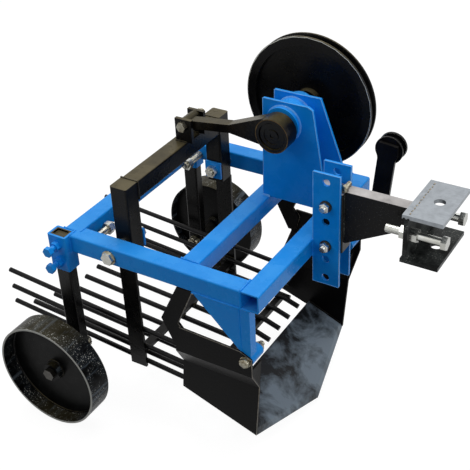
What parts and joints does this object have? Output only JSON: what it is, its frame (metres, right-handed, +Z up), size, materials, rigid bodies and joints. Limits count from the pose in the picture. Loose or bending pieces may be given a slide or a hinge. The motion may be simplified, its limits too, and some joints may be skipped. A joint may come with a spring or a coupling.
{
  "type": "potato digger",
  "caption": "Towed potato digger for a walking tractor: a pointed share and a rocking rod grate driven by a belt pulley, crank and connecting rod, on height-set wheels.",
  "frame": {"origin": "centre of the hitch pin hole in the upper plate of the tractor bracket", "axes": "+X forward to the towing tractor, +Y to the machine's left, +Z up along the hitch pin"},
  "size_m": [0.9755, 0.706, 0.744],
  "materials": {
    "blue_enamel": "gloss",
    "black_enamel": "gloss",
    "worn_black": "satin, scuffed",
    "dark_steel": "satin",
    "share_steel": "worn satin",
    "zinc_steel": "bright zinc",
    "shaft_steel": "turned"
  },
  "bodies": {
    "frame": {"cross_rear": "blue_enamel", "cross_middle": "blue_enamel", "cross_front": "blue_enamel", "upright_right": "blue_enamel", "upright_left": "blue_enamel", "hub_tube": "blue_enamel", "share": "share_steel", "hitch_bar": "black_enamel", "bracket_top": "dark_steel", "bracket_bottom": "dark_steel", "bracket_back": "dark_steel", "adjusting_bolts": "zinc_steel", "pivot_bolts": "zinc_steel", "lock_plates": "blue_enamel", "rail_studs": "zinc_steel", "tensioner_lug": "black_enamel", "rail_right": "blue_enamel", "rail_left": "blue_enamel", "sleeve_right": "blue_enamel", "sleeve_left": "blue_enamel", "leg_right": "blue_enamel", "leg_left": "blue_enamel", "side_wall_right": "black_enamel", "side_wall_left": "black_enamel", "hanger_right": "black_enamel", "hanger_left": "black_enamel", "hitch_plate_right": "blue_enamel", "hitch_plate_left": "blue_enamel"},
    "grate": {"portal_beam": "black_enamel", "clevis": "black_enamel", "clevis_pin": "zinc_steel", "grate_crosses": "black_enamel", "floor_rods": "black_enamel", "portal_leg_right": "black_enamel", "portal_leg_left": "black_enamel", "side_rods_right": "black_enamel", "side_rods_left": "black_enamel"},
    "connecting_rod": {"connecting_rod": "black_enamel"},
    "crank": {"crankshaft": "shaft_steel", "pulley": "black_enamel"},
    "post_right": {"post_right": "black_enamel", "axle_right": "zinc_steel"},
    "post_left": {"post_left": "black_enamel", "axle_left": "zinc_steel"},
    "wheel_right": {"wheel_right": "worn_black"},
    "wheel_left": {"wheel_left": "worn_black"},
    "tensioner_arm": {"tensioner_arm": "black_enamel"},
    "tensioner_roller": {"tensioner_roller": "black_enamel"}
  },
  "joints": [
    {"name": "grate_pivot", "type": "hinge", "parent": "frame", "child": "grate", "pos_m": [-0.583, 0, -0.156], "axis": [0, 1, 0], "range_deg": [-2, 2]},
    {"name": "clevis_pivot", "type": "hinge", "parent": "grate", "child": "connecting_rod", "pos_m": [-0.571, 0.055, 0.013], "axis": [0, 1, 0], "range_deg": [-2, 2]},
    {"name": "crank_spin", "type": "hinge", "parent": "frame", "child": "crank", "pos_m": [-0.359, 0.111, 0.046], "axis": [0, 1, 0], "continuous": true},
    {"name": "tensioner_pivot", "type": "hinge", "parent": "frame", "child": "tensioner_arm", "pos_m": [-0.189, 0.1714, -0.154], "axis": [0, 1, 0], "range_deg": [-6, 30]},
    {"name": "roller_spin", "type": "hinge", "parent": "tensioner_arm", "child": "tensioner_roller", "pos_m": [-0.175, 0.1884, -0.02], "axis": [0, 1, 0], "continuous": true},
    {"name": "post_slide_right", "type": "slide", "parent": "frame", "child": "post_right", "axis": [0, 0, 1], "range_m": [-0.012, 0.06]},
    {"name": "wheel_spin_right", "type": "hinge", "parent": "post_right", "child": "wheel_right", "pos_m": [-0.704, -0.3195, -0.434], "axis": [0, 1, 0], "continuous": true},
    {"name": "post_slide_left", "type": "slide", "parent": "frame", "child": "post_left", "axis": [0, 0, 1], "range_m": [-0.012, 0.06]},
    {"name": "wheel_spin_left", "type": "hinge", "parent": "post_left", "child": "wheel_left", "pos_m": [-0.704, 0.3195, -0.434], "axis": [0, 1, 0], "continuous": true}
  ],
  "couplings": [
    {"joint": "clevis_pivot", "follows": "grate_pivot", "ratio": -1}
  ]
}
